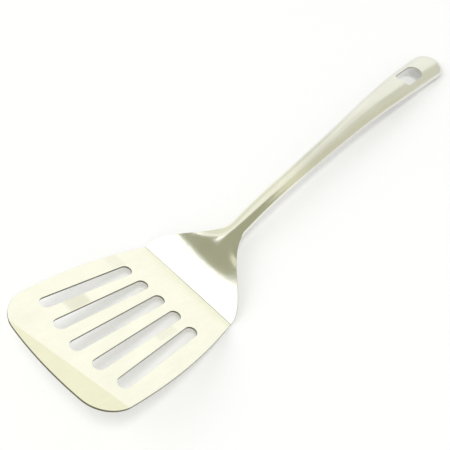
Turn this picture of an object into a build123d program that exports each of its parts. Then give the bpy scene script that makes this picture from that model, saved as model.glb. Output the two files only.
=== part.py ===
from build123d import *
from math import asin, atan2, cos, degrees, hypot, pi, radians, sin
import os

# Slotted turner for fish and other soft food, pressed from one stainless sheet.
# A flat slotted blade is folded up at the heel into a shoulder, which is drawn into a hollow neck
# and a long open channel, the grip, with turned-down flanks and a D-shaped hanging hole.
# The sheet is built with its blade flat on XY and its heel fold along X, then laid down as it rests:
# on the heel and on the tip of the grip, with the blade's front edge in the air.
# All sizes are in millimetres and degrees.

# Sheet
sheet = 1.2

# Blade outline, measured on the flat from the heel fold
blade_length = 105.5
blade_width = 90.0
heel_width = 74.0
widest_at = 67.4
front_radius = 221.0
corner_radius = 20.0

# Lip, the front edge turned up a few degrees beyond a fold that runs slightly askew
lip_width = 10.0
lip_skew = 11.8
lip_angle = 4.5
lip_bend_radius = 8.0

# Slots, fanned about the middle one, each end's round centre measured from the blade's nearer end
slot_count = 5
slot_width = 7.5
slot_pitch_rear = 13.77
slot_pitch_front = 15.77
slot_rear_margin = 23.4
slot_front_margin = 21.6
slot_rear_drop = 0.8
slot_front_drop = 5.1
slot_drop_power = 1.3

# Heel fold
fold_radius = 1.5
fold_angle = 56.5

# Crest of the shoulder, neck and grip in side view: an arc, a straight and a long arc back down
shoulder_radius = 170.0
shoulder_turn = 29.3
grip_straight = 65.6
grip_radius = 357.0
grip_arc = 92.1

# Width and cross-section of the shoulder and the channel
shoulder_length = 47.6
neck_width = 11.1
end_width = 23.1
flank_angle = 63.0
flank = 0.3
rim_straight = 0.15
waist_power = 0.94
turn_power = 5.5
flat_top = 2.0
taper_power = 1.63

# Hanging hole, a D with its straight side towards the blade
hole_width = 12.2
hole_length = 20.6
hole_to_tip = 26.6
hole_corner_radius = 2.4

# Cutters reach this far past the sheet on both sides
overrun = 10.0

# Stations along the shoulder, stations along the channel, and points across half a section
shoulder_stations = 8
grip_stations = 7
section_points = 6
integration_steps = 96

half_turn = 180.0


def blade_outline():
    """Region where three large discs overlap, cut off at the heel, with its front corners rounded."""
    side_bulge = (blade_width - heel_width) / 2
    side_radius = (widest_at**2 + side_bulge**2) / (2 * side_bulge)
    side_offset = side_radius - blade_width / 2
    right = Pos(-side_offset, -widest_at) * Circle(side_radius)
    left = Pos(side_offset, -widest_at) * Circle(side_radius)
    front = Pos(0, front_radius - blade_length) * Circle(front_radius)
    behind = Pos(0, -blade_length) * Rectangle(blade_width, 2 * blade_length)
    outline = right & left & front & behind
    return fillet(outline.vertices().group_by(Axis.Y)[0], corner_radius)


def about_bend(shape, angle, inner_radius):
    """The shape turned upwards about the axis of a bend that starts at the origin."""
    outer_radius = inner_radius + sheet
    return Pos(0, 0, outer_radius) * Rot(X=angle) * Pos(0, 0, -outer_radius) * shape


def bend_sector(angle, inner_radius, width):
    """Sheet bent upwards round an axis along X, from the origin towards +Y."""
    edge = Plane.XZ * Pos(0, sheet / 2) * Rectangle(width, sheet)
    return revolve(edge, Axis((0, 0, inner_radius + sheet), (1, 0, 0)), angle)


def slot(step):
    """Obround cutter; step counts slots outwards from the middle one, negative to the left."""
    outermost = (slot_count - 1) / 2
    drop_share = (abs(step) / outermost) ** slot_drop_power
    rear = Vector(step * slot_pitch_rear, -slot_rear_margin - slot_rear_drop * drop_share)
    front = Vector(step * slot_pitch_front, slot_front_margin - blade_length + slot_front_drop * drop_share)
    middle = (rear + front) / 2
    along = front - rear
    shape = SlotCenterToCenter(along.length, slot_width)
    cutter = extrude(shape, amount=sheet + overrun, both=True)
    return Pos(middle.X, middle.Y) * Rot(Z=degrees(atan2(along.Y, along.X))) * cutter


def make_blade():
    """Plate with its turned-up lip, cut to outline and slotted, and the heel fold behind it."""
    reach = blade_length + blade_width
    flat = Pos(0, -reach / 2, sheet / 2) * Box(2 * reach, reach, sheet)
    beyond = Pos(0, reach / 2, sheet / 2) * Box(2 * reach, reach, sheet)
    lip = bend_sector(lip_angle, lip_bend_radius, 2 * reach) + about_bend(beyond, lip_angle, lip_bend_radius)
    plate = Pos(0, lip_width - blade_length) * Rot(Z=half_turn + lip_skew) * (flat + lip)
    blade = plate & extrude(blade_outline(), amount=overrun, both=True)
    first = -(slot_count // 2)
    for step in range(first, first + slot_count):
        blade -= slot(step)
    return blade + bend_sector(fold_angle, fold_radius, heel_width)


def crest(travel):
    """Point and slope of the top of the sheet in side view, a distance along it from the fold's end."""
    outer_radius = fold_radius + sheet
    slope = radians(fold_angle)
    y = fold_radius * sin(slope)
    z = outer_radius - fold_radius * cos(slope)
    shoulder_arc = shoulder_radius * radians(shoulder_turn)
    stretches = [
        (shoulder_arc, shoulder_radius),
        (grip_straight, None),
        (grip_arc, grip_radius),
    ]
    for length, radius in stretches:
        part = min(travel, length)
        if radius is None:
            y += part * cos(slope)
            z += part * sin(slope)
        else:
            turned = slope - part / radius
            y += radius * (sin(slope) - sin(turned))
            z += radius * (cos(turned) - cos(slope))
            slope = turned
        travel -= part
    return y, z, slope


def crest_length():
    return shoulder_radius * radians(shoulder_turn) + grip_straight + grip_arc


def station_plane(travel):
    """Plane square to the crest, with local X across the turner and local Y down into the channel."""
    y, z, slope = crest(travel)
    return Plane(origin=(0, y, z), x_dir=(1, 0, 0), z_dir=(0, cos(slope), sin(slope)))


def shape_at(travel):
    """Half width, turn of the flanks, straight of the flanks and flatness of a station's section.

    On the shoulder the width falls as a squared cosine, and the flanks turn down with a power of what
    the width has lost, while its broad top stays flat. Along the grip the width grows as a squared
    sine and the top flattens again.
    """
    if travel < shoulder_length:
        width_share = cos(pi / 2 * (travel / shoulder_length) ** waist_power) ** 2
        turn_share = (1 - width_share) ** turn_power
        half_width = (neck_width + (heel_width - neck_width) * width_share) / 2
        turn = radians(flank_angle) * turn_share
        return half_width, turn, rim_straight + flank * turn_share, 1.0 + flat_top * width_share
    along_share = (travel - shoulder_length) / (crest_length() - shoulder_length)
    grown_share = sin(pi / 2 * along_share**taper_power) ** 2
    half_width = (neck_width + (end_width - neck_width) * grown_share) / 2
    return half_width, radians(flank_angle), rim_straight + flank, 1.0 + grown_share


def half_section(travel):
    """Points of the sheet's top and underside from the crest to the flank's straight, on one side.

    The top turns downwards by an angle that grows with a power of the way along it, so its points
    are running sums of that angle's cosine and sine, and the underside lies one sheet below them.
    The last point of each list is the rim's.
    """
    half_width, turn, straight, power = shape_at(travel)
    angles = [turn * ((i + 0.5) / integration_steps) ** power for i in range(integration_steps)]
    step = (half_width - straight * cos(turn)) / sum(cos(a) for a in angles)
    top = [Vector(0, 0)]
    under = [Vector(0, sheet)]
    every = integration_steps // section_points
    for count in range(every, integration_steps + 1, every):
        x = step * sum(cos(a) for a in angles[:count])
        y = step * sum(sin(a) for a in angles[:count])
        angle = turn * (count / integration_steps) ** power
        top.append(Vector(x, y))
        under.append(Vector(x - sheet * sin(angle), y + sheet * cos(angle)))
    down = Vector(cos(turn), sin(turn))
    top.append(top[-1] + down * straight)
    under.append(under[-1] + down * straight)
    return top, under, down


def section_edges(travel, side):
    """Edges of one half of a section, for side 1 or -1, from the crest down to the rim and back."""
    top, under, down = half_section(travel)
    top = [Vector(side * p.X, p.Y) for p in top]
    under = [Vector(side * p.X, p.Y) for p in under]
    ends = [Vector(side, 0), Vector(side * down.X, down.Y)]
    return [
        Spline(top[:-1], tangents=ends),
        *Polyline(top[-2], top[-1], under[-1], under[-2]).edges(),
        Spline(under[:-1], tangents=ends),
    ]


def section(travel):
    """Whole section of the sheet at a station, as a face."""
    wire = Wire(section_edges(travel, 1) + section_edges(travel, -1))
    return station_plane(travel) * Face(wire)


def half_face(travel):
    """Right half of the section at a station, closed along the middle."""
    wire = Wire(section_edges(travel, 1) + [Line((0, 0), (0, sheet))])
    return station_plane(travel) * Face(wire)


def hanging_hole():
    """D-shaped cutter, square to the sheet in the middle of the hole."""
    radius = hole_width / 2
    travel = crest_length() + end_width / 2 - hole_to_tip - hole_length / 2
    square = Pos(0, -radius / 2) * Rectangle(hole_width, hole_length - radius)
    square = fillet(square.vertices().group_by(Axis.Y)[0], hole_corner_radius)
    shape = square + Pos(0, hole_length / 2 - radius) * Circle(radius)
    y, z, slope = crest(travel)
    level = Plane(origin=(0, y, z), x_dir=(1, 0, 0), z_dir=(0, -sin(slope), cos(slope)))
    return level * extrude(shape, amount=overrun, both=True)


def make_handle():
    """Shoulder, neck and grip lofted through their sections, with a domed end and the hanging hole."""
    shoulder_steps = shoulder_stations - 1
    travels = [shoulder_length * i / shoulder_steps for i in range(shoulder_stations)]
    grip_length = crest_length() - shoulder_length
    travels += [shoulder_length + grip_length * i / grip_stations for i in range(1, grip_stations + 1)]
    body = loft([section(travel) for travel in travels])
    y, z, slope = crest(crest_length())
    axis = Axis((0, y, z), (0, -sin(slope), cos(slope)))
    end = revolve(half_face(crest_length()), axis, half_turn)
    return body + end - hanging_hole()


def resting_tilt():
    """Turn about the fold's axis that brings the lower edge of the rim at the tip down to the heel's level."""
    outer_radius = fold_radius + sheet
    y, z, slope = crest(crest_length())
    top, under, down = half_section(crest_length())
    rim = under[-1]
    rim_y = y + rim.X * cos(slope) + rim.Y * sin(slope)
    rim_z = z + rim.X * sin(slope) - rim.Y * cos(slope) - outer_radius
    return degrees(asin(-outer_radius / hypot(rim_y, rim_z)) - atan2(rim_z, rim_y))


blade = about_bend(make_blade(), resting_tilt(), fold_radius)
handle = about_bend(make_handle(), resting_tilt(), fold_radius)

# The origin is under the middle of the turner, on the surface it rests on
box = Compound([blade, handle]).bounding_box()
middle = Pos(0, -(box.min.Y + box.max.Y) / 2, -box.min.Z)

os.makedirs("parts", exist_ok=True)
for name, shape in (("blade", blade), ("handle", handle)):
    export_step(middle * shape, f"parts/{name}.step")
print("resting tilt", round(resting_tilt(), 2), "length", round(box.size.Y, 1), "height", round(box.size.Z, 1))
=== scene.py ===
# %% [markdown]
# # A slotted turner pressed from one sheet
#
# The turner is one piece of stainless sheet, 1.2 mm thick. It was blanked flat with its slots and its
# hanging hole, folded at the heel, and drawn into a shoulder, a hollow neck and an open channel that is
# the grip. So it is built here the same way: every point of it is a place on the flat blank, and one
# function bends the blank into shape. The CAD model gives the sizes, the resting pose and the box that
# the finished surface has to fill.

import bpy
import numpy as np
from mathutils import Matrix, Vector


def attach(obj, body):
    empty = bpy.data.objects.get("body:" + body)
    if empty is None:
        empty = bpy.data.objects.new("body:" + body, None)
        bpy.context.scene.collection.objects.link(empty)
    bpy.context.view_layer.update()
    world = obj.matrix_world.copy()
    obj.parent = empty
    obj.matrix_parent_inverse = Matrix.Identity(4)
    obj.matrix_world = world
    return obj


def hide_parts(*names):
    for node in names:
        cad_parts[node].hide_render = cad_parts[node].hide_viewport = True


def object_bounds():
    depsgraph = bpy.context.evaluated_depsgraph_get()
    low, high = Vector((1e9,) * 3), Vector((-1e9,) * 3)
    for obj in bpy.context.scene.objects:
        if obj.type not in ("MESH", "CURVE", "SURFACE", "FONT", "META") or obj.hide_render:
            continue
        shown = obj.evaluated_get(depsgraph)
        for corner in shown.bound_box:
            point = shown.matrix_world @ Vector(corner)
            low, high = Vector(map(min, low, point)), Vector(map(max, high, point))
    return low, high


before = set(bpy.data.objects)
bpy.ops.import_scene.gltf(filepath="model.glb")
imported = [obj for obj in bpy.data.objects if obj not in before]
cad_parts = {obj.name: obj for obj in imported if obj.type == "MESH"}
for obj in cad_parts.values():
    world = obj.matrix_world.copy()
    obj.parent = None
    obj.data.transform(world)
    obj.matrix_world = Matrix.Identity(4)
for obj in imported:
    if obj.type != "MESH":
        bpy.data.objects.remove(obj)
cad_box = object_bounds()
print("CAD box, mm", [[round(1000 * v, 1) for v in corner] for corner in cad_box])

# %% [markdown]
# ## Sizes
#
# These are the sizes of the real sheet in millimetres and degrees, the same as in the CAD model. The
# blade is measured on the flat from the heel fold, u across and v towards the grip, so v is negative
# on the blade.

# %% Sizes
SHEET, EDGE = 1.2, 0.12
BLADE_LENGTH, BLADE_WIDTH, HEEL_WIDTH, WIDEST_AT = 105.5, 90.0, 74.0, 67.4
FRONT_RADIUS, CORNER_RADIUS = 221.0, 20.0
LIP_AT, LIP_SKEW, LIP_ANGLE, LIP_BEND = BLADE_LENGTH - 10.0, 11.8, 4.5, 8.0
SLOTS, SLOT_WIDTH, PITCH_REAR, PITCH_FRONT = 5, 7.5, 13.77, 15.77
REAR_AT, FRONT_AT, REAR_DROP, FRONT_DROP, DROP_POWER = 23.4, BLADE_LENGTH - 21.6, 0.8, 5.1, 1.3
FOLD_RADIUS, FOLD_ANGLE = 1.5, 56.5
SHOULDER_RADIUS, SHOULDER_TURN, GRIP_STRAIGHT = 170.0, 29.3, 65.6
GRIP_RADIUS, GRIP_ARC = 357.0, 92.1
SHOULDER_LENGTH, NECK_WIDTH, END_WIDTH = 47.6, 11.1, 23.1
FLANK_ANGLE, FLANK, RIM_STRAIGHT = 63.0, 0.3, 0.15
WAIST_POWER, TURN_POWER, FLAT_TOP, TAPER_POWER = 0.94, 5.5, 2.0, 1.63
HOLE_WIDTH, HOLE_LENGTH, HOLE_TO_TIP, HOLE_CORNER = 12.2, 20.6, 26.6, 2.4
CREST_LENGTH = SHOULDER_RADIUS * np.radians(SHOULDER_TURN) + GRIP_STRAIGHT + GRIP_ARC
print("crest of shoulder, neck and grip, mm", round(CREST_LENGTH, 1))

# %% [markdown]
# ## The blade's outline
#
# Seen flat, each side is one very long arc from the heel to the widest place, the front is a flatter
# arc, and a corner arc joins them. A blanking tool is ground from just such arcs. The corner arc's
# centre is as far inside both of the others as its own radius, so it is where two circles cross.

# %% Outline arcs
SIDE_POINTS, ARC_POINTS = 50, 200
BULGE = (BLADE_WIDTH - HEEL_WIDTH) / 2
SIDE_RADIUS = (WIDEST_AT**2 + BULGE**2) / (2 * BULGE)
SIDE_CENTRE = np.array([BLADE_WIDTH / 2 - SIDE_RADIUS, -WIDEST_AT])
FRONT_CENTRE = np.array([0.0, FRONT_RADIUS - BLADE_LENGTH])


def corner_centre():
    """Centre of the right front corner: one corner radius inside both the side's arc and the front's."""
    r1, r2 = SIDE_RADIUS - CORNER_RADIUS, FRONT_RADIUS - CORNER_RADIUS
    across = FRONT_CENTRE - SIDE_CENTRE
    apart = np.hypot(*across)
    along = (r1**2 - r2**2 + apart**2) / (2 * apart)
    off = np.sqrt(r1**2 - along**2) * np.array([across[1], -across[0]])
    both = [SIDE_CENTRE + (along * across + sign * off) / apart for sign in (1, -1)]
    return min(both, key=lambda centre: centre[1])


CORNER_CENTRE = corner_centre()


def angle_of(vector):
    return np.arctan2(vector[1], vector[0])


def arc(centre, radius, start, end, count):
    """Points centre + radius (cos a, sin a), a from start to end in radians."""
    a = np.linspace(start, end, count)
    return centre + radius * np.stack([np.cos(a), np.sin(a)], -1)


print("corner arc centre, mm", CORNER_CENTRE.round(2))

# %% [markdown]
# ## The outline as a line of points
#
# The three arcs are walked from the heel round the corner to the middle of the front. The inset leaves
# room for the small rounding of the cut edge, which the real blank gets when it is deburred.

# %% Outline points
def side_point(v, inset):
    """Right side at v, moved inwards by inset: u = centre + sqrt((R - inset)^2 - (v + widest)^2)."""
    return SIDE_CENTRE[0] + np.sqrt((SIDE_RADIUS - inset) ** 2 - (v + WIDEST_AT) ** 2)


def half_outline(inset, v_from):
    """Right half of the outline, moved inwards by inset, and the number of the corner's middle point.

    It runs from v_from on the side to the middle of the front.
    """
    side_end = angle_of(CORNER_CENTRE - SIDE_CENTRE)
    front_start = angle_of(CORNER_CENTRE - FRONT_CENTRE)
    v = np.linspace(v_from, SIDE_CENTRE[1] + (SIDE_RADIUS - inset) * np.sin(side_end), SIDE_POINTS)
    side = np.stack([side_point(v, inset), v], -1)
    corner = arc(CORNER_CENTRE, CORNER_RADIUS - inset, side_end, front_start, ARC_POINTS)
    front = arc(FRONT_CENTRE, FRONT_RADIUS - inset, front_start, -np.pi / 2, ARC_POINTS)
    return np.vstack([side, corner[1:], front[1:]]), SIDE_POINTS - 1 + ARC_POINTS // 2


def resample(line, shares):
    """Points of a polyline at the given shares of its length."""
    run = np.concatenate([[0], np.cumsum(np.linalg.norm(np.diff(line, axis=0), axis=1))])
    return np.stack([np.interp(shares * run[-1], run, line[:, k]) for k in range(line.shape[1])], -1)


print("half width of the blade at its widest, mm", side_point(-WIDEST_AT, 0))

# %% [markdown]
# ## A lattice over the whole blank
#
# The sheet is one lattice of rows and columns, from the front edge of the blade to the end of the
# grip, so that reflections run on without a seam, as they do over a real pressing. The columns fan out
# with the slots. Each slot has a window of the lattice to itself, which is filled with rings later.

# %% Rows and columns of the blade
MARGIN_COLS, WINDOW_COLS = 7, 18
FRONT_ROWS, SLOT_ROWS, REAR_ROWS = 44, 36, 8
COLS = 2 * MARGIN_COLS + SLOTS * WINDOW_COLS
WINDOW_CLEAR = 2.4
FAN = (PITCH_FRONT - PITCH_REAR) / (FRONT_AT - REAR_AT)


def column_row(v_of):
    """(u, v) of every column on the row v = v_of(u), between the slots' windows and out to the sides."""
    steps = np.arange(SLOTS + 1) - SLOTS / 2
    edges = steps * PITCH_REAR
    for _ in range(20):
        edges = steps * (PITCH_REAR + FAN * (-v_of(edges) - REAR_AT))
    side = side_point(v_of(BLADE_WIDTH / 2), EDGE)
    knots = np.concatenate([[-side], edges, [side]])
    places = np.concatenate([[0], MARGIN_COLS + WINDOW_COLS * np.arange(SLOTS + 1), [COLS]])
    u = np.interp(np.arange(COLS + 1), places, knots)
    return np.stack([u, v_of(u)], -1)


def ahead_of_slots(u):
    """Row just ahead of the slots' front ends, which step back towards the sides."""
    share = np.abs(u) / (PITCH_FRONT * (SLOTS - 1) / 2)
    return -(FRONT_AT + SLOT_WIDTH / 2 + WINDOW_CLEAR) + FRONT_DROP * share**DROP_POWER


def blade_lattice():
    """Places (rows, columns, 2) between four key rows, with the side columns pulled onto the outline.

    The pull fades out over the margin, so that the slots' windows keep their straight sides.
    """
    heel = column_row(lambda u: 0.0 * u)
    rear = column_row(lambda u: 0.0 * u - (REAR_AT - SLOT_WIDTH / 2 - WINDOW_CLEAR))
    front = column_row(ahead_of_slots)
    half, turn = half_outline(EDGE, ahead_of_slots(BLADE_WIDTH / 2))
    nose = half[turn:]
    edge_line = np.vstack([nose * [-1, 1], nose[::-1][1:]])
    edge = resample(edge_line, (front[:, 0] - front[0, 0]) / (front[-1, 0] - front[0, 0]))
    rows = []
    for near, far, count in ((edge, front, FRONT_ROWS), (front, rear, SLOT_ROWS), (rear, heel, REAR_ROWS)):
        share = np.arange(count)[:, None, None] / count
        rows.append(near + share * (far - near))
    places = np.concatenate(rows + [heel[None]])
    fade = np.clip(1 - np.arange(COLS + 1) / MARGIN_COLS, 0, 1)
    corner_side = resample(half[: turn + 1], 1 - np.arange(FRONT_ROWS + 1) / FRONT_ROWS)
    side_v = places[FRONT_ROWS:, -1, 1]
    side = np.concatenate([corner_side[:-1], np.stack([side_point(side_v, EDGE), side_v], -1)])
    pull = (side - places[:, -1])[:, None]
    places += pull * fade[::-1][None, :, None] + pull * [-1, 1] * fade[None, :, None]
    return places


blade = blade_lattice()
print("blade lattice", blade.shape[:2], "front edge at v", blade[0, COLS // 2].round(2))

# %% [markdown]
# ## Rows of the shoulder, neck and grip
#
# Beyond the heel fold a place is (share, travel): its share of the way from the crest to the rim, and
# the distance travelled along the crest. The fold, the shoulder and the grip each get rows as close as
# their curvature needs, and the hanging hole has a window here as the slots have in the blade.

# %% Rows of the handle
FOLD_ROWS, SHOULDER_ROWS, GRIP_ROWS, HOLE_ROWS, TIP_ROWS = 9, 64, 96, 20, 12
HOLE_MIDDLE = CREST_LENGTH + END_WIDTH / 2 - HOLE_TO_TIP - HOLE_LENGTH / 2
HOLE_CLEAR = 1.8
hole_rear = HOLE_MIDDLE - HOLE_LENGTH / 2 - HOLE_CLEAR
hole_front = HOLE_MIDDLE + HOLE_LENGTH / 2 + HOLE_CLEAR
travel = np.concatenate(
    [
        np.linspace(0, SHOULDER_LENGTH * 1.2, SHOULDER_ROWS, endpoint=False),
        np.linspace(SHOULDER_LENGTH * 1.2, hole_rear, GRIP_ROWS, endpoint=False),
        np.linspace(hole_rear, hole_front, HOLE_ROWS, endpoint=False),
        np.linspace(hole_front, CREST_LENGTH, TIP_ROWS + 1),
    ]
)
heel_row = blade.shape[0] - 1
share = blade[heel_row, :, 0] / blade[heel_row, -1, 0]
print("rows along the crest", len(travel))

# %% [markdown]
# ## The crest in side view
#
# In side view the crest is an arc over the shoulder, a straight along the neck and grip and a long arc
# back down. On the real turner a press bends all three at once. Arcs that meet without a kink keep the
# reflections smooth.

# %% Crest
OUTER = FOLD_RADIUS + SHEET
STEPS = 48


def crest(s):
    """(y, z, slope) of the sheet's top at travel s: an arc, a straight and an arc, joined without a kink."""
    slope = np.full(np.shape(s), np.radians(FOLD_ANGLE))
    y = FOLD_RADIUS * np.sin(slope)
    z = OUTER - FOLD_RADIUS * np.cos(slope)
    shoulder = SHOULDER_RADIUS * np.radians(SHOULDER_TURN)
    part = np.minimum(s, shoulder)
    turned = slope - part / SHOULDER_RADIUS
    y = y + SHOULDER_RADIUS * (np.sin(slope) - np.sin(turned))
    z = z + SHOULDER_RADIUS * (np.cos(turned) - np.cos(slope))
    part = np.clip(s - shoulder, 0, GRIP_STRAIGHT)
    y, z, slope = y + part * np.cos(turned), z + part * np.sin(turned), turned
    turned = slope - np.maximum(s - shoulder - GRIP_STRAIGHT, 0) / GRIP_RADIUS
    y = y + GRIP_RADIUS * (np.sin(slope) - np.sin(turned))
    z = z + GRIP_RADIUS * (np.cos(turned) - np.cos(slope))
    return y, z, turned


tip = crest(np.array(CREST_LENGTH))
print("crest ends at y, z, mm", [round(float(v), 1) for v in tip[:2]])

# %% [markdown]
# ## Cross-sections of the shoulder and channel
#
# Across the crest, the sheet turns down by an angle that grows as a power of the way to the flank, so a
# section is x = sum of cos(turn t^p) and depth = sum of sin(turn t^p). On the shoulder the turn is
# almost nothing, and in the neck and grip it is 63 degrees. The drawing die has the same free flow.

# %% Cross-sections
def section_shape(s):
    """Half width, turn, straight of the flank and power at travel s, as in the CAD model."""
    on_shoulder = s < SHOULDER_LENGTH
    wide = np.cos(np.pi / 2 * np.clip(s / SHOULDER_LENGTH, 0, 1) ** WAIST_POWER) ** 2
    along = np.clip((s - SHOULDER_LENGTH) / (CREST_LENGTH - SHOULDER_LENGTH), 0, 1)
    grown = np.sin(np.pi / 2 * along**TAPER_POWER) ** 2
    reach = np.where(on_shoulder, (HEEL_WIDTH - NECK_WIDTH) * wide, (END_WIDTH - NECK_WIDTH) * grown)
    turn_share = (1 - wide) ** TURN_POWER
    turn = np.radians(FLANK_ANGLE) * turn_share
    power = 1 + np.where(on_shoulder, FLAT_TOP * wide, grown)
    return (NECK_WIDTH + reach) / 2, turn, RIM_STRAIGHT + FLANK * turn_share, power


def section(across, s, inset):
    """x, depth and turned angle at a share of the way from the crest to the rim, less inset.

    The angle grows as turn t^power over the curved stretch. x and depth are the sums of its cosine and
    sine, and the flank's straight runs on in the last direction.
    """
    half, turn, straight, power = section_shape(s)
    t = (np.arange(STEPS) + 0.5) / STEPS
    curved = (half - straight * np.cos(turn)) / np.cos(turn[..., None] * t ** power[..., None]).mean(-1)
    run = np.abs(across) * (curved + straight - inset)
    bent = np.minimum(run / curved, 1.0)
    angle = turn[..., None] * (bent[..., None] * t) ** power[..., None]
    x = curved * bent * np.cos(angle).mean(-1) + np.maximum(run - curved, 0) * np.cos(turn)
    depth = curved * bent * np.sin(angle).mean(-1) + np.maximum(run - curved, 0) * np.sin(turn)
    return np.sign(across) * x, depth, turn * bent**power


neck = section(np.array(1.0), np.array(SHOULDER_LENGTH), 0)
print("half width and depth of the neck, mm", [round(float(v), 1) for v in neck[:2]])

# %% [markdown]
# ## Places and normals
#
# These functions bend the blank: each gives the top of the sheet and its exact normal, for the handle,
# for the flat blade with its lip, and for the heel fold. The underside needs only the normal.

# %% Places and normals
def top_of_handle(across, s):
    """Top of the sheet and its normal at (share, travel), before the turner is laid down."""
    x, depth, angle = section(across, s, EDGE)
    y, z, slope = crest(s)
    place = np.stack([x, y + depth * np.sin(slope), z - depth * np.cos(slope)], -1)
    lean = np.cos(angle)
    normal = np.stack([np.sign(across) * np.sin(angle), -lean * np.sin(slope), lean * np.cos(slope)], -1)
    return place, normal


def top_of_blade(flat):
    """Top of the blade and its normal.

    Ahead of the lip's fold line the sheet rises as r (1 - cos a) over a short bend, then runs straight.
    """
    skew = np.radians(LIP_SKEW)
    ahead = np.array([np.sin(skew), -np.cos(skew)])
    beyond = (flat - np.array([0, -LIP_AT])) @ ahead
    radius = LIP_BEND
    turn = np.radians(LIP_ANGLE)
    angle = np.arcsin(np.clip(beyond / radius, 0, np.sin(turn)))
    rise = radius * (1 - np.cos(angle)) + np.maximum(beyond - radius * np.sin(turn), 0) * np.tan(turn)
    place = np.concatenate([flat, (SHEET + rise)[..., None]], -1)
    normal = np.concatenate([-np.sin(angle)[..., None] * ahead, np.cos(angle)[..., None]], -1)
    return place, normal


def top_of_fold(angles):
    """Rows of the heel fold: u as on the heel, (y, z) on an arc of the fold's inner radius."""
    across, angle = np.broadcast_arrays(blade[heel_row, :, 0][None, :], angles[:, None])
    place = np.stack([across, FOLD_RADIUS * np.sin(angle), OUTER - FOLD_RADIUS * np.cos(angle)], -1)
    normal = np.stack([0 * angle, -np.sin(angle), np.cos(angle)], -1)
    return place, normal


blade_top, blade_normal = top_of_blade(blade)
print("rise of the lip at its right corner, mm", (blade_top[..., 2].max() - SHEET).round(2))

# %% [markdown]
# ## The whole top
#
# Blade, fold and handle follow one another as rows of one lattice, and each of its points gets a number.

# %% The whole top
fold_top, fold_normal = top_of_fold(np.radians(FOLD_ANGLE) * np.arange(1, FOLD_ROWS) / FOLD_ROWS)
grid_share, grid_travel = np.broadcast_arrays(share[None, :], travel[:, None])
grip_top, grip_normal = top_of_handle(grid_share, grid_travel)
top = np.concatenate([blade_top, fold_top, grip_top])
normal = np.concatenate([blade_normal, fold_normal, grip_normal])
rows = top.shape[0]
first_grip_row = rows - len(travel)
number = np.arange(rows * (COLS + 1)).reshape(rows, COLS + 1)
deepest = section(np.array(1.0), np.array(CREST_LENGTH), 0)[1]
print("whole lattice", top.shape[:2], "depth of the rim at the tip, mm", round(float(deepest), 2))

# %% [markdown]
# ## Rings round the slots and the hole
#
# A punched opening has its own line, an obround for a slot and a D for the hanging hole. Each window
# of the lattice is filled with rings that change from the window's own edge to that line. The line
# starts at the corner of the window nearest to it, so that the rings don't twist.

# %% Rings
RINGS = 6
RING_SHARE = (np.arange(1, RINGS + 1) / RINGS)[:, None, None]


def window_edge(low_row, high_row, low_col, high_col):
    """Numbers of the lattice's points round a window, anticlockwise from its low corner."""
    return np.concatenate(
        [
            number[low_row, low_col:high_col],
            number[low_row:high_row, high_col],
            number[high_row, high_col:low_col:-1],
            number[high_row:low_row:-1, low_col],
        ]
    )


def obround(step):
    """Line of a slot, EDGE outside its cut, anticlockwise from its front left.

    Two half circles and two straights, each with as many points as its window has on that side.
    """
    share_of = (abs(step) / ((SLOTS - 1) / 2)) ** DROP_POWER
    rear = np.array([step * PITCH_REAR, -REAR_AT - REAR_DROP * share_of])
    front = np.array([step * PITCH_FRONT, -FRONT_AT + FRONT_DROP * share_of])
    ahead = angle_of(front - rear)
    radius = SLOT_WIDTH / 2 + EDGE
    nose = arc(front, radius, ahead - np.pi / 2, ahead + np.pi / 2, WINDOW_COLS + 1)
    tail = arc(rear, radius, ahead + np.pi / 2, ahead + 3 * np.pi / 2, WINDOW_COLS + 1)
    t = np.arange(SLOT_ROWS)[:, None] / SLOT_ROWS
    up = nose[-1] + t * (tail[0] - nose[-1])
    down = tail[-1] + t * (nose[0] - tail[-1])
    return np.vstack([nose[:-1], up, tail[:-1], down])


print("lowest point of the middle slot's line, v", obround(0)[:, 1].min().round(2))

# %% [markdown]
# ## The hanging hole's line
#
# The D is drawn in its own plane and laid onto the channel. Its x has to be turned into a share of the
# way to the rim there, which has no formula, so a few of Newton's steps find it.

# %% Line of the hanging hole
def d_line(cols):
    """Line of the hanging hole in its own plane, EDGE outside its cut, anticlockwise.

    Four stretches from the flat side's left corner, with as many points as the window has on each side.
    """
    radius, corner = HOLE_WIDTH / 2 + EDGE, HOLE_CORNER
    half = HOLE_LENGTH / 2 + EDGE
    left = arc(np.array([corner - radius, corner - half]), corner, np.pi, 3 * np.pi / 2, 12)
    right = left[::-1] * [-1, 1]
    crown = arc(np.array([0.0, half - radius]), radius, 0, np.pi, 61)
    flat_side = np.vstack([left[6:], right[:6]])
    up = np.vstack([right[5:], crown[:16]])
    over = crown[15:46]
    back = np.vstack([crown[45:], left[:7]])
    stretches = ((flat_side, cols), (up, HOLE_ROWS), (over, cols), (back, HOLE_ROWS))
    return np.vstack([resample(line, np.arange(count) / count) for line, count in stretches])


def share_at(x, s):
    """Share of the way to the rim at which the section is x from the middle, by Newton's steps."""
    across = x / (END_WIDTH / 2)
    for _ in range(12):
        got, _, angle = section(across, s, EDGE)
        curved = section(np.sign(across), s, EDGE)[0]
        across = across + (x - got) / np.maximum(np.abs(curved) * 1.2, 1) / np.maximum(np.cos(angle), 0.3)
    return across


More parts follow.
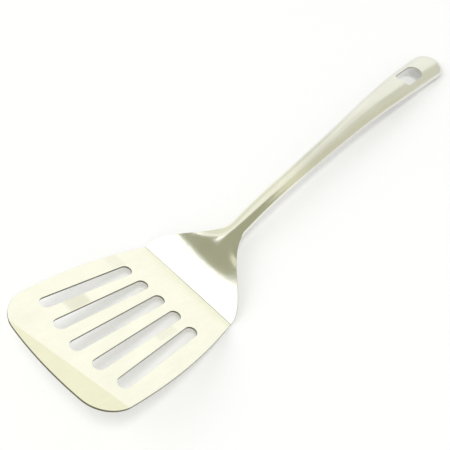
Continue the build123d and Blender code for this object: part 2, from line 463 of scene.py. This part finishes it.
HOLE_BESIDE = 0.8
window_side = share_at(np.array([HOLE_WIDTH / 2 + EDGE + HOLE_BESIDE]), np.array([HOLE_MIDDLE]))
hole_cols = int(np.searchsorted(share, window_side[0]))
hole_row = first_grip_row + SHOULDER_ROWS + GRIP_ROWS
hole_window = (hole_row, hole_row + HOLE_ROWS, COLS - hole_cols, hole_cols)
hole_xy = d_line(2 * hole_cols - COLS)
hole_travel = HOLE_MIDDLE + hole_xy[:, 1]
hole_share = share_at(hole_xy[:, 0], hole_travel)
print("hole window columns", hole_window[2:], "widest share of the hole", hole_share.max().round(3))

# %% [markdown]
# ## The round end
#
# The end of the grip is half of a dome: the right half of the last section turned round through half a
# circle, about the sheet's own normal at the end of the crest. All its columns meet in one pole there.

# %% Dome
DOME_STEPS = 48
middle_col = COLS // 2


def dome():
    """Top and normal of the half dome: the last section's x turned by an angle from 0 to pi, row by row."""
    turn = np.pi * np.arange(1, DOME_STEPS)[:, None] / DOME_STEPS
    across = share[middle_col + 1 :][None]
    x, depth, angle = section(across, np.full(across.shape, CREST_LENGTH), EDGE)
    y, z, slope = crest(np.array(CREST_LENGTH))
    flat = np.stack([x * np.cos(turn), x * np.sin(turn), -depth + 0 * turn], -1)
    out = np.sin(angle)
    lean = np.stack([out * np.cos(turn), out * np.sin(turn), np.cos(angle) + 0 * turn], -1)
    tilt = np.array([[1, 0, 0], [0, np.cos(slope), -np.sin(slope)], [0, np.sin(slope), np.cos(slope)]])
    return flat @ tilt.T + [0, y, z], lean @ tilt.T


dome_top, dome_normal = dome()
print("dome", dome_top.shape[:2])

# %% [markdown]
# ## One closed surface
#
# The top is now known. The underside is the same places one sheet lower along the normals. A narrow
# band closes the edge all round and inside every opening: a rounded corner, the sheared wall, and a
# rounded corner again. Deburring leaves those small radii on the real one. First come the lists that
# collect points, normals, places on the flat blank, faces, and the edges that are still open.

# %% Collecting points and faces
fold_blank = np.stack([share * HEEL_WIDTH / 2 + 0 * fold_top[..., 0], 0 * fold_top[..., 0]], -1)
grip_blank = np.stack([grip_top[..., 0], grid_travel], -1)
points, normals, faces, loops = [top.reshape(-1, 3)], [normal.reshape(-1, 3)], [], []
blank = [np.concatenate([blade, fold_blank, grip_blank]).reshape(-1, 2)]
count = rows * (COLS + 1)
windows = np.zeros((rows - 1, COLS), bool)


def quads(index):
    """Faces of a grid of point numbers, four corners each, counterclockwise from above."""
    return np.stack([index[:-1, :-1], index[:-1, 1:], index[1:, 1:], index[1:, :-1]], -1).reshape(-1, 4)


def add(place, lean, flat):
    """Numbers of newly added points."""
    global count
    points.append(place.reshape(-1, 3))
    normals.append(lean.reshape(-1, 3))
    blank.append(flat.reshape(-1, 2))
    count += len(points[-1])
    return np.arange(count - len(points[-1]), count).reshape(place.shape[:-1])


def fill(window, edge, ring):
    """Opens a window of the lattice and fills it with rings, from its edge to the line of the opening."""
    windows[window[0] : window[1], window[2] : window[3]] = True
    ring = np.vstack([edge[None], ring])
    ring = np.concatenate([ring, ring[:, :1]], 1)
    faces.append(quads(ring))
    loops.append((ring[-1, :-1], -1))


print("points on the lattice", count)

# %% [markdown]
# ## Slots
#
# The five slots are punched through the flat blank in one stroke. Each takes its window of the lattice,
# and its rings are bent with the blade, so the front ends follow where the lip starts to rise.

# %% Slots
for slot in range(SLOTS):
    low_col = MARGIN_COLS + slot * WINDOW_COLS
    window = (FRONT_ROWS, FRONT_ROWS + SLOT_ROWS, low_col, low_col + WINDOW_COLS)
    edge = window_edge(*window)
    flat_edge = blade.reshape(-1, 2)[edge]
    flat = flat_edge + RING_SHARE * (obround(slot - (SLOTS - 1) / 2) - flat_edge)
    fill(window, edge, add(*top_of_blade(flat), flat))
print("slots", len(loops), "points round each", len(edge))

# %% [markdown]
# ## Hanging hole
#
# The D is cut square to the crest in the middle of the hole. Its rings lie on the crowned top of the
# channel, so its line dips at the sides as it does on the real grip.

# %% Hanging hole
edge = window_edge(*hole_window)
edge_rows, edge_cols = np.divmod(edge, COLS + 1)
start = np.stack([share[edge_cols], travel[edge_rows - first_grip_row]], -1)
flat = start + RING_SHARE * (np.stack([hole_share, hole_travel], -1) - start)
ring_top, ring_normal = top_of_handle(flat[..., 0], flat[..., 1])
fill(hole_window, edge, add(ring_top, ring_normal, np.stack([ring_top[..., 0], flat[..., 1]], -1)))
print("points round the hanging hole", len(edge))

# %% [markdown]
# ## Lattice, dome and outside edge
#
# The rest of the lattice and the dome complete the top. One edge then runs all round the turner, up
# the right side, round the tip, back down the left side and along the front.

# %% Lattice, dome and outside edge
lattice_faces = quads(number).reshape(rows - 1, COLS, 4)
faces.append(lattice_faces[~windows])
dome_blank = np.stack([dome_top[..., 0], CREST_LENGTH + dome_top[..., 1] - dome_top[0, 0, 1]], -1)
end = add(dome_top, dome_normal, dome_blank)
cap = np.vstack([number[-1, middle_col + 1 :][None], end, number[-1, :middle_col][::-1][None]])
faces.append(quads(cap))
pole = number[-1, middle_col]
fan = np.stack([np.full(DOME_STEPS, pole), cap[:-1, 0], cap[1:, 0]], -1)
outside = np.concatenate([number[:, -1], cap[1:-1, -1], number[::-1, 0], number[0, 1:-1]])
loops.append((outside, 1))
print("points on the top", count, "edges to close", [len(loop) for loop, _ in loops])

# %% [markdown]
# ## Underside and edges
#
# The real turner lies on its heel and on the tip of its grip, with the blade's front edge in the air.
# The turn that brings both down to the table is worked out from the rim at the tip. The underside and
# the bands are made before that turn, where the normals are still those of the formulas.

# %% Underside and edges
BAND, CUT_REACH = 4, 3


def resting_turn():
    """Turn about the fold's axis that brings the rim at the tip down to the heel's level."""
    y, z, slope = crest(np.array(CREST_LENGTH))
    x, depth, turn = section(np.array(1.0), np.array(CREST_LENGTH), 0)
    x, depth = x - SHEET * np.sin(turn), depth + SHEET * np.cos(turn)
    rim_y = y + x * np.cos(slope) + depth * np.sin(slope)
    rim_z = z + x * np.sin(slope) - depth * np.cos(slope) - OUTER
    tilt = np.arcsin(-OUTER / np.hypot(rim_y, rim_z)) - np.arctan2(rim_z, rim_y)
    return np.array([[1, 0, 0], [0, np.cos(tilt), -np.sin(tilt)], [0, np.sin(tilt), np.cos(tilt)]])


def closed_sheet():
    """Vertices, normals, four-cornered faces, places on the blank and marks of the cut edges.

    The underside is the top less SHEET times the normal. The band round an edge is two quarter circles
    of radius EDGE, with the sheared wall between them.
    """
    upper, lean, flat = np.vstack(points), np.vstack(normals), np.vstack(blank)
    lean /= np.linalg.norm(lean, axis=1)[:, None]
    four = np.vstack(faces)
    vertices, facing, places = [upper, upper - SHEET * lean], [lean, -lean], [flat, flat]
    cut = [np.zeros(2 * count)]
    quad = [four, four[:, ::-1] + count]
    total = 2 * count
    angles = np.pi / 2 * np.arange(1, BAND + 1) / BAND
    for loop, side in loops:
        ahead = upper[np.roll(loop, -1)] - upper[np.roll(loop, 1)]
        outward = side * np.cross(ahead, lean[loop])
        outward /= np.linalg.norm(outward, axis=1)[:, None]
        for a in angles:
            facing.append(np.sin(a) * outward + np.cos(a) * lean[loop])
            vertices.append(upper[loop] + EDGE * (facing[-1] - lean[loop]))
        for a in angles[::-1]:
            facing.append(np.sin(a) * outward - np.cos(a) * lean[loop])
            vertices.append(upper[loop] - SHEET * lean[loop] + EDGE * (facing[-1] + lean[loop]))
        rows_of_band = 2 * BAND
        index = total + np.arange(rows_of_band * len(loop)).reshape(rows_of_band, len(loop))
        places.append(np.tile(flat[loop], (rows_of_band, 1)))
        marked = np.abs(np.arange(rows_of_band) - BAND + 0.5) < CUT_REACH
        cut.append(np.repeat(marked, len(loop)).astype(float))
        total += rows_of_band * len(loop)
        index = np.vstack([loop[None], index, loop[None] + count])
        index = np.concatenate([index, index[:, :1]], 1)
        quad.append(quads(index) if side < 0 else quads(index[:, ::-1]))
    return np.vstack(vertices), np.vstack(facing), np.vstack(quad), np.vstack(places), np.concatenate(cut)


vertices, facing, quad, places, cut = closed_sheet()
tri = np.vstack([fan, fan[:, ::-1] + count])
print("vertices", len(vertices), "faces", len(quad) + len(tri))

# %% [markdown]
# ## The turner
#
# The closed sheet is laid down, moved to where the CAD model lies and made into one mesh, which takes
# the place of both CAD bodies. Its normals come straight from the formulas, because a polished surface
# shows every error of averaged ones. Two attributes go with it for the material: each point's place on
# the flat blank, and the cut edges. The volume it encloses should be that of the CAD model.

# %% The turner
turn = resting_turn()
vertices = ((vertices - [0, 0, OUTER]) @ turn.T + [0, 0, OUTER]) * 0.001
fold_at = cad_box[0][1] - vertices[:, 1].min()
vertices[:, 1] += fold_at
mesh = bpy.data.meshes.new("turner")
mesh.from_pydata(vertices.tolist(), [], quad.tolist() + tri.tolist())
mesh.shade_smooth()
mesh.normals_split_custom_set_from_vertices((facing @ turn.T).tolist())
place = mesh.attributes.new("blank", "FLOAT_VECTOR", "POINT")
place.data.foreach_set("vector", np.concatenate([places, 0 * places[:, :1]], 1).ravel() * 0.001)
mesh.attributes.new("cut", "FLOAT", "POINT").data.foreach_set("value", cut)
turner = bpy.data.objects.new("turner", mesh)
bpy.context.collection.objects.link(turner)
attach(turner, "root")
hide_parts("blade", "handle")
corners = np.vstack([quad[:, [0, 1, 2]], quad[:, [0, 2, 3]], tri])
a, b, c = np.moveaxis(vertices[corners], 1, 0)
volume = np.einsum("ij,ij->", a, np.cross(b, c)) / 6
print("steel, cm3", round(1e6 * volume, 2))

# %% [markdown]
# ## Steel
#
# The blade is satin: fine brushing along it, faint blotches where it has been wiped, a few specks. The
# shoulder and grip were polished after drawing. Everything is worked out from each point's place on the
# flat blank, so that the brushing follows the sheet through its bends. These helpers keep the material
# short to read.

# %% Node helpers
steel = bpy.data.materials.new("steel")
steel.use_nodes = True
nodes, links = steel.node_tree.nodes, steel.node_tree.links
shader = nodes["Principled BSDF"]


def put(socket, value):
    """Sets a socket: a link from another socket, or a plain value."""
    if isinstance(value, bpy.types.NodeSocket):
        links.new(value, socket)
    else:
        socket.default_value = value


def attribute(name, output):
    """One output of an attribute of the mesh."""
    made = nodes.new("ShaderNodeAttribute")
    made.attribute_name = name
    return made.outputs[output]


def math(operation, *values):
    """Result of a Math node."""
    made = nodes.new("ShaderNodeMath")
    made.operation = operation
    for socket, value in zip(made.inputs, values):
        put(socket, value)
    return made.outputs[0]


def noise(vector, scale, stretch=(1, 1, 1), detail=3.0, rough=0.5):
    """Noise with features of about 1 / scale of a metre, stretched by axis."""
    mapped = nodes.new("ShaderNodeVectorMath")
    mapped.operation = "MULTIPLY"
    put(mapped.inputs[0], vector)
    put(mapped.inputs[1], stretch)
    made = nodes.new("ShaderNodeTexNoise")
    put(made.inputs["Vector"], mapped.outputs[0])
    put(made.inputs["Scale"], scale)
    put(made.inputs["Detail"], detail)
    put(made.inputs["Roughness"], rough)
    return made.outputs["Fac"]


print("material", steel.name)

# %% [markdown]
# ## Masks and mixes
#
# Every mark on the steel is a number between 0 and 1, made by a ramp, and a colour or a roughness is
# then mixed by it.

# %% Masks and mixes
def ramp(value, low, high, to_low=0.0, to_high=1.0):
    """Linear step from one value to another, level beyond both."""
    made = nodes.new("ShaderNodeMapRange")
    for socket, given in zip(made.inputs, (value, low, high, to_low, to_high)):
        put(socket, given)
    return made.outputs[0]


def blend(low, high, share):
    """Number that runs from low to high: low (1 - share) + high share."""
    return math("ADD", math("MULTIPLY", low, math("SUBTRACT", 1.0, share)), math("MULTIPLY", share, high))


def mix(kind, share, low, high):
    """Colour: low where share is 0, and high mixed or multiplied onto it where share is 1."""
    made = nodes.new("ShaderNodeMix")
    made.data_type = "RGBA"
    made.blend_type = kind
    for socket, value in zip((made.inputs[0], made.inputs[6], made.inputs[7]), (share, low, high)):
        put(socket, value)
    return made.outputs[2]


print("nodes before the marks", len(nodes))

# %% [markdown]
# ## Marks on the steel
#
# Brushing belts leave lines along the blade, cloths leave blotches, and the far end of the grip gets a
# painted shade. Where something has been wiped off, faint rectangles stay. All are soft masks on the
# blank, in metres. The lip has its own mask, for a painted shade that darkens the tilted lip.

# %% Marks on the steel
PATCHES = [
    (1.0, (-0.0255, -0.0645, 0.0048, 0.0055, 0.003)),
    (0.45, (0.018, -0.037, 0.004, 0.006, 0.002)),
    (0.4, (-0.038, -0.025, 0.005, 0.003, 0.003)),
]
LIP_FROM, LIP_BLEND = 0.001 * LIP_AT * np.cos(np.radians(LIP_SKEW)), 0.0012


def near(value, middle, half, soft):
    """1 within half of the middle, falling to 0 over the soft distance beyond."""
    away = math("ABSOLUTE", math("SUBTRACT", value, middle))
    return ramp(away, half, half + soft, 1.0, 0.0)


def patch(across, along, half_across, half_along, soft):
    """1 inside a soft-edged rectangle on the blank and 0 outside."""
    return math("MULTIPLY", near(blank_x, across, half_across, soft), near(blank_y, along, half_along, soft))


blank_at = attribute("blank", "Vector")
split = nodes.new("ShaderNodeSeparateXYZ")
put(split.inputs[0], blank_at)
blank_x, blank_y = split.outputs[0], split.outputs[1]
cut_edge = attribute("cut", "Fac")
on_shoulder = ramp(blank_y, -0.001, 0.0005)
on_grip = ramp(blank_y, 0.045, 0.075)
cloud = noise(blank_at, 45, detail=5, rough=0.6)
# Painted shade: this mask makes the far end of the grip greyer, with a ragged edge from the cloud noise.
grip_end_shade_mask = ramp(math("ADD", blank_y, math("MULTIPLY", cloud, 0.012)), 0.100, 0.118)
wiped = noise(blank_at, 160, stretch=(1, 0.35, 1), detail=4, rough=0.6)
brushed = noise(blank_at, 3500, stretch=(1, 0.02, 1), detail=2)
fine = noise(blank_at, 2600, detail=2)
speck = ramp(noise(blank_at, 900, detail=1), 0.78, 0.84)
patches = 0.0
for weight, place in PATCHES:
    patches = math("ADD", patches, math("MULTIPLY", patch(*place), weight))
# The lip's mask carries a painted shade: its tint makes the tilted lip darker and warmer.
lip_x = math("MULTIPLY", blank_x, np.sin(np.radians(LIP_SKEW)))
lip_y = math("MULTIPLY", blank_y, np.cos(np.radians(LIP_SKEW)))
on_lip = ramp(math("SUBTRACT", lip_x, lip_y), LIP_FROM, LIP_FROM + LIP_BLEND)
print("nodes for the marks", len(nodes))

# %% [markdown]
# ## Colour of the steel
#
# Stainless steel is a pale warm grey that tints what it reflects. The marks darken it a little. A painted
# shade makes the tilted lip a shade warmer and the far end of the grip a shade greyer, and the cut edges
# are painted dark, a painted shade for the dark surroundings their walls reflect, which is weaker on the
# shoulder and grip.

# %% Colour of the steel
STEEL, WORN_STEEL = (0.96, 0.96, 0.86, 1), (0.66, 0.64, 0.53, 1)
# The tints of the lip, the grip's far end and the cut edges are painted shade, not colours of the steel.
LIP_PAINTED_SHADE, GRIP_END_PAINTED_SHADE, CUT_EDGE_PAINTED_SHADE = (0.90, 0.895, 0.79, 1), (0.86, 0.86, 0.895, 1), (0.20, 0.195, 0.165, 1)
shade = ramp(cloud, 0.3, 0.7, 0.97, 1.0)
shade = math("MULTIPLY", shade, ramp(wiped, 0.35, 0.7, 0.985, 1.0))
shade = math("MULTIPLY", shade, ramp(patches, 0.0, 1.0, 1.0, 0.91))
shade = math("MULTIPLY", shade, ramp(speck, 0.0, 1.0, 1.0, 0.8))
# Painted shade on the cut edges: full on the blade, less on the shoulder and grip.
sheared = math("MULTIPLY", cut_edge, ramp(blank_y, -0.006, 0.001, 1.0, 0.3))
colour = mix("MIX", ramp(shade, 0.8, 1.0), WORN_STEEL, STEEL)
for tint, mask in ((LIP_PAINTED_SHADE, on_lip), (GRIP_END_PAINTED_SHADE, grip_end_shade_mask), (CUT_EDGE_PAINTED_SHADE, sheared)):
    colour = mix("MULTIPLY", mask, colour, tint)
put(shader.inputs["Base Color"], colour)
put(shader.inputs["Metallic"], 1.0)
print("nodes with the colour", len(nodes))

# %% [markdown]
# ## Roughness and relief
#
# The satin blade blurs what it reflects more than the polished shoulder does, and the grip lies between
# them. A very low relief of brushing and of slight waves in the pressed sheet breaks up the reflections.

# %% Roughness and relief
satin = ramp(brushed, 0.3, 0.7, 0.16, 0.24)
polish = ramp(cloud, 0.3, 0.7, 0.07, 0.10)
grip = ramp(cloud, 0.3, 0.7, 0.18, 0.24)
rough = blend(blend(satin, polish, on_shoulder), grip, on_grip)
rough = math("ADD", rough, math("MULTIPLY", cut_edge, 0.25))
put(shader.inputs["Roughness"], math("ADD", rough, math("MULTIPLY", speck, 0.2)))
relief = math("ADD", math("MULTIPLY", brushed, 0.3), math("MULTIPLY", cloud, 1.5))
relief = math("ADD", relief, math("MULTIPLY", fine, 0.15))
bump = nodes.new("ShaderNodeBump")
put(bump.inputs["Strength"], 0.35)
put(bump.inputs["Distance"], 0.00012)
put(bump.inputs["Height"], relief)
put(shader.inputs["Normal"], bump.outputs[0])
mesh.materials.append(steel)
print("steel nodes", len(nodes))

# %% [markdown]
# ## Floor
#
# The turner lies on white paper. The paper's own colour stays below white, so that it keeps the shadow,
# and a little glow that only the camera and reflections see brings it up to a white background.

# %% Floor
FLOOR_SIZE, FLOOR_GLOW = 8, 0.13
bpy.ops.mesh.primitive_plane_add(size=FLOOR_SIZE)
floor = bpy.context.object
floor.name = "floor"
paper = bpy.data.materials.new("paper")
paper.use_nodes = True
tree = paper.node_tree
surface = tree.nodes["Principled BSDF"]
surface.inputs["Base Color"].default_value = (0.80, 0.80, 0.80, 1)
surface.inputs["Roughness"].default_value = 0.9
surface.inputs["Emission Color"].default_value = (1, 1, 1, 1)
path = tree.nodes.new("ShaderNodeLightPath")
seen = path.outputs["Is Camera Ray"]
for kind in ("Is Glossy Ray", "Is Transmission Ray"):
    either = tree.nodes.new("ShaderNodeMath")
    either.operation = "MAXIMUM"
    tree.links.new(seen, either.inputs[0])
    tree.links.new(path.outputs[kind], either.inputs[1])
    seen = either.outputs[0]
lift = tree.nodes.new("ShaderNodeMath")
lift.operation = "MULTIPLY"
lift.inputs[1].default_value = FLOOR_GLOW
tree.links.new(seen, lift.inputs[0])
tree.links.new(lift.outputs[0], surface.inputs["Emission Strength"])
floor.data.materials.append(paper)
print("floor, m", FLOOR_SIZE, "glow", FLOOR_GLOW)

# %% [markdown]
# ## Cards
#
# Polished steel has no colour of its own to speak of: it shows the room. So the room is built of flat
# cards that only reflections see. They give no light, which the lamps do, so that each can be set
# without the other.

# %% Cards
def direction(azimuth, elevation):
    """Unit vector at an azimuth clockwise from +Y and an elevation, in degrees."""
    a, e = np.radians([azimuth, elevation])
    return Vector((np.sin(a) * np.cos(e), np.cos(a) * np.cos(e), np.sin(e)))


def glow(name, colour):
    """Material of one flat tone that gives no light of its own."""
    made = bpy.data.materials.new(name)
    made.use_nodes = True
    made.cycles.emission_sampling = "NONE"
    made.node_tree.nodes.clear()
    emission = made.node_tree.nodes.new("ShaderNodeEmission")
    emission.inputs["Color"].default_value = (*colour, 1)
    output = made.node_tree.nodes.new("ShaderNodeOutputMaterial")
    made.node_tree.links.new(emission.outputs[0], output.inputs["Surface"])
    return made


def card(name, corners, colour):
    """Flat card with these corners in metres."""
    shape = bpy.data.meshes.new(name)
    shape.from_pydata([tuple(corner) for corner in corners], [], [range(len(corners))])
    shape.materials.append(glow(name, colour))
    made = bpy.data.objects.new(name, shape)
    bpy.context.collection.objects.link(made)
    made.visible_camera = made.visible_diffuse = made.visible_shadow = False


def wall(name, azimuth, elevation, distance, width, height, colour):
    """Rectangular card that faces the turner."""
    toward = direction(azimuth, elevation)
    across = Vector((0, 0, 1)).cross(toward).normalized() * width / 2
    upward = toward.cross(across).normalized() * height / 2
    middle = toward * distance
    card(name, [middle + i * across + j * upward for i, j in ((-1, -1), (1, -1), (1, 1), (-1, 1))], colour)


def level(name, height, outline, colour):
    """Card that lies level at a height above the turner, with its outline in millimetres."""
    card(name, [(x / 1000, y / 1000, height) for x, y in outline], colour)


print("the room's directions run clockwise from +Y, such as +X at", direction(90, 0).to_tuple(1))

# %% [markdown]
# ## The photographer's room
#
# A white room with a ceiling, cream and grey walls, one softbox behind the camera on the left, and a
# dark end to the right. The dark shape above the turner is the camera with the arms that hold it: the
# shoulder shows its outline, with one small gap in it, because that part of the sheet is a mirror that
# looks almost straight up.

# %% The photographer's room
CEILING = [(-1500, -1500), (1500, -1500), (1500, 1500), (-1500, 1500)]
CAMERA_SHADE = [(-165, -165), (-125, -177), (-99, -186), (-78, -181), (-66, -174), (-56, -163)]
CAMERA_SHADE += [(-36, -149), (-6, -137), (900, -300), (900, 105), (98, 105), (62, 71), (41, 31)]
CAMERA_SHADE += [(13, -5), (-28, -39), (-107, -67), (-112, -98), (-109, -119), (-121, -114)]
CAMERA_SHADE += [(-145, -100), (-165, -100)]
GAP = [(-43, -128), (-33, -137), (0, -128), (32, -119), (25, -110), (-15, -116)]
level("ceiling", 1.2, CEILING, (0.92, 0.91, 0.83))
wall("cream wall", -80, 15, 1.0, 1.0, 1.3, (0.80, 0.80, 0.70))
wall("softbox", -150, 33, 0.9, 0.7, 1.15, (1.3, 1.3, 1.3))
wall("dark side", 105, 15, 0.75, 1.26, 1.2, (0.40, 0.40, 0.29))
wall("grey wall", 48, 20, 0.78, 0.46, 1.3, (0.72, 0.71, 0.56))
wall("grey corner", 12, 20, 0.8, 0.56, 1.3, (0.74, 0.74, 0.63))
wall("back wall", -32, 22, 1.1, 0.9, 0.7, (1.07, 1.07, 1.0))
level("camera and hands", 0.25, CAMERA_SHADE, (0.385, 0.385, 0.285))
level("gap in the shade", 0.249, GAP, (0.80, 0.79, 0.64))
print("corners of the camera's shade", len(CAMERA_SHADE))

# %% [markdown]
# ## World and lamps
#
# The world is the light that a white room scatters, a little weaker on the floor than in reflections.
# One lamp hangs nearly overhead and a large one stands in front on the left. Together they light the
# floor evenly, and the shadows under the blade and grip stay soft.

# %% World and lamps
WORLD_LESS = 0.28
world = bpy.data.worlds.new("studio")
bpy.context.scene.world = world
world.use_nodes = True
world.cycles.sampling_method = "NONE"
background = world.node_tree.nodes["Background"]
background.inputs["Color"].default_value = (1.0, 1.0, 0.97, 1)
rays = world.node_tree.nodes.new("ShaderNodeLightPath")
less = world.node_tree.nodes.new("ShaderNodeMath")
less.operation = "MULTIPLY_ADD"
less.inputs[1].default_value, less.inputs[2].default_value = -WORLD_LESS, 1.0
world.node_tree.links.new(rays.outputs["Is Diffuse Ray"], less.inputs[0])
world.node_tree.links.new(less.outputs[0], background.inputs["Strength"])


def lamp(name, azimuth, elevation, distance, size, watts):
    """Round lamp that lights the floor and casts the shadows. Reflections see the cards instead."""
    light = bpy.data.lights.new(name, "AREA")
    light.shape, light.size, light.energy = "DISK", size, watts
    made = bpy.data.objects.new(name, light)
    bpy.context.collection.objects.link(made)
    made.location = direction(azimuth, elevation) * distance
    made.rotation_euler = made.location.to_track_quat("Z", "Y").to_euler()
    made.visible_glossy = False


lamp("overhead", 112, 78, 3.0, 0.6, 24.0)
lamp("front left", -140, 46, 3.0, 2.4, 17.0)
print("world on the floor", 1 - WORLD_LESS)

# %% [markdown]
# ## Camera
#
# The camera was fitted to the photograph together with the turner's sizes. It looks down from the front
# right, so that the blade lies at the lower left and the grip runs to the upper right. Its focal length
# is in pixels of the picture, and its place is given as where the middle of the heel fold lies in view.

# %% Camera
PICTURE, SENSOR = 450, 36
CAMERA_F = 708.353
AZIMUTH, ELEVATION, ROLL = np.radians([-45.61, 59.351, -1.241])
HEEL_IN_VIEW = np.array([-23.175, -36.227, -425.053])
level_ahead = np.array([np.sin(AZIMUTH), np.cos(AZIMUTH), 0])
forward = np.cos(ELEVATION) * level_ahead - [0, 0, np.sin(ELEVATION)]
right = np.array([np.cos(AZIMUTH), -np.sin(AZIMUTH), 0])
up = np.cross(right, forward)
view_right = np.cos(ROLL) * right + np.sin(ROLL) * up
view_up = np.cos(ROLL) * up - np.sin(ROLL) * right
view = np.array([view_right, view_up, -forward])
eye = -HEEL_IN_VIEW @ view + [0, 1000 * fold_at, 0]
camera = bpy.data.objects.new("camera", bpy.data.cameras.new("camera"))
bpy.context.collection.objects.link(camera)
camera.data.sensor_width = SENSOR
camera.data.lens = SENSOR * CAMERA_F / PICTURE
camera.matrix_world = Matrix.Translation(eye * 0.001) @ Matrix(view.T.tolist()).to_4x4()
bpy.context.scene.camera = camera
bpy.context.scene.view_settings.view_transform = "Standard"
print("camera at, mm", eye.round(1), "fold at y", round(float(1000 * fold_at), 2))
